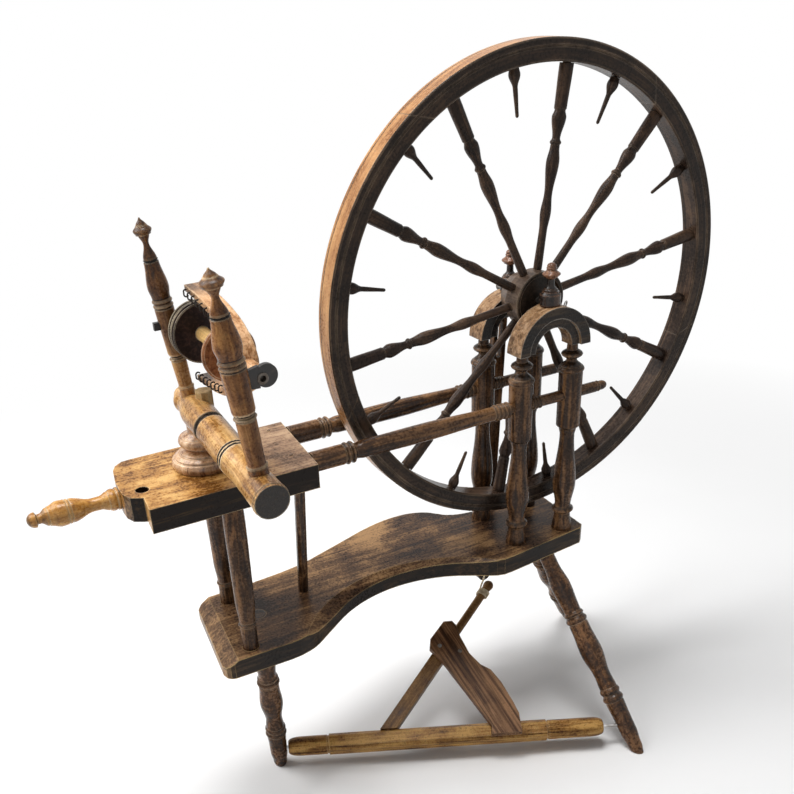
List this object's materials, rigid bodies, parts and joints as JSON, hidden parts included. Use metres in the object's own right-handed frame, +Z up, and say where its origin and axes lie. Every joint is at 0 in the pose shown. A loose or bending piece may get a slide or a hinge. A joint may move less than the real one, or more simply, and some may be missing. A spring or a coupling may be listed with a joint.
{
  "type": "treadle spinning wheel",
  "caption": "Treadle spinning wheel on a three-legged bench: spoked drive wheel between turned posts, footman and pedal, and a raised table with a screw-tensioned flyer and bobbin.",
  "frame": {"origin": "middle of the bounding box, on the floor", "axes": "+X along the bench from the flyer to the wheel, +Y to the back (the crank side), +Z up"},
  "size_m": [0.919, 0.3485, 0.858],
  "materials": {
    "mottled_wood": "worn oiled wood with pale rubbed edges",
    "leg_wood": "worn stained turned wood",
    "dark_turned_wood": "dark polished turned wood",
    "black_wood": "nearly black aged finish",
    "finial_wood": "glossy coppery brown",
    "rim_wood": "dark faces and a rubbed tread",
    "honey_wood": "honey-brown polished wood",
    "red_wood": "reddish-brown worn wood",
    "pale_wood": "bare pale wood",
    "forged_iron": "dark forged iron",
    "bright_wire": "grey worn steel",
    "black_leather": "stiff black leather",
    "string": "twisted string"
  },
  "bodies": {
    "stand": {"bench": "mottled_wood", "left_leg": "leg_wood", "front_leg": "leg_wood", "rear_leg": "leg_wood", "front_left_post": "dark_turned_wood", "front_right_post": "dark_turned_wood", "rear_left_post": "dark_turned_wood", "rear_right_post": "dark_turned_wood", "front_arch": "black_wood", "rear_arch": "black_wood", "front_finial": "finial_wood", "rear_finial": "finial_wood", "front_rail": "dark_turned_wood", "rear_rail": "dark_turned_wood", "rail_pins": "dark_turned_wood", "arch_staple": "bright_wire", "table": "honey_wood", "front_table_post": "dark_turned_wood", "rear_table_post": "dark_turned_wood", "table_strut": "dark_turned_wood"},
    "wheel": {"felloe_1": "rim_wood", "felloe_2": "rim_wood", "felloe_3": "rim_wood", "felloe_4": "rim_wood", "felloe_5": "rim_wood", "hub": "rim_wood", "spokes": "black_wood", "rim_pegs": "black_wood", "axle_crank": "forged_iron"},
    "footman": {"footman": "honey_wood"},
    "treadle": {"treadle_bar": "honey_wood", "treadle_arm": "honey_wood", "pedal": "red_wood", "pedal_nails": "forged_iron", "treadle_pins": "forged_iron", "tie_cord": "string"},
    "screw": {"tension_screw": "honey_wood"},
    "carriage": {"screw_nut": "honey_wood", "pedestal": "honey_wood", "mother_of_all": "honey_wood", "maiden_block": "pale_wood", "front_maiden": "honey_wood", "rear_maiden": "honey_wood", "front_bearing": "black_leather", "rear_bearing": "black_leather"},
    "flyer": {"flyer": "honey_wood", "flyer_hooks": "bright_wire", "spindle": "forged_iron", "whorl": "black_wood"},
    "bobbin": {"bobbin": "red_wood"}
  },
  "joints": [
    {"name": "wheel_turn", "type": "hinge", "parent": "stand", "child": "wheel", "pos_m": [0.1795, 0.0647, 0.578], "axis": [0, 1, 0], "continuous": true},
    {"name": "footman_swing", "type": "hinge", "parent": "wheel", "child": "footman", "pos_m": [0.18959, 0.1412, 0.54033], "axis": [0, 1, 0], "continuous": true},
    {"name": "treadle_rock", "type": "hinge", "parent": "stand", "child": "treadle", "pos_m": [-0.21549, 0.06379, 0.03], "axis": [0.9028, -0.4301, 0], "range_deg": [0, 24]},
    {"name": "screw_turn", "type": "hinge", "parent": "stand", "child": "screw", "pos_m": [-0.3605, 0.0607, 0.45775], "axis": [1, 0, 0], "range_deg": [-540, 540]},
    {"name": "carriage_slide", "type": "slide", "parent": "stand", "child": "carriage", "axis": [1, 0, 0], "range_m": [-0.009, 0.009]},
    {"name": "flyer_turn", "type": "hinge", "parent": "carriage", "child": "flyer", "pos_m": [-0.2465, -0.0193, 0.622], "axis": [0, 1, 0], "continuous": true},
    {"name": "bobbin_turn", "type": "hinge", "parent": "flyer", "child": "bobbin", "pos_m": [-0.2465, 0.0087, 0.622], "axis": [0, 1, 0], "continuous": true}
  ],
  "couplings": [
    {"joint": "footman_swing", "follows": "wheel_turn", "ratio": -1},
    {"joint": "screw_turn", "follows": "carriage_slide", "rad_per_m": 1047}
  ]
}
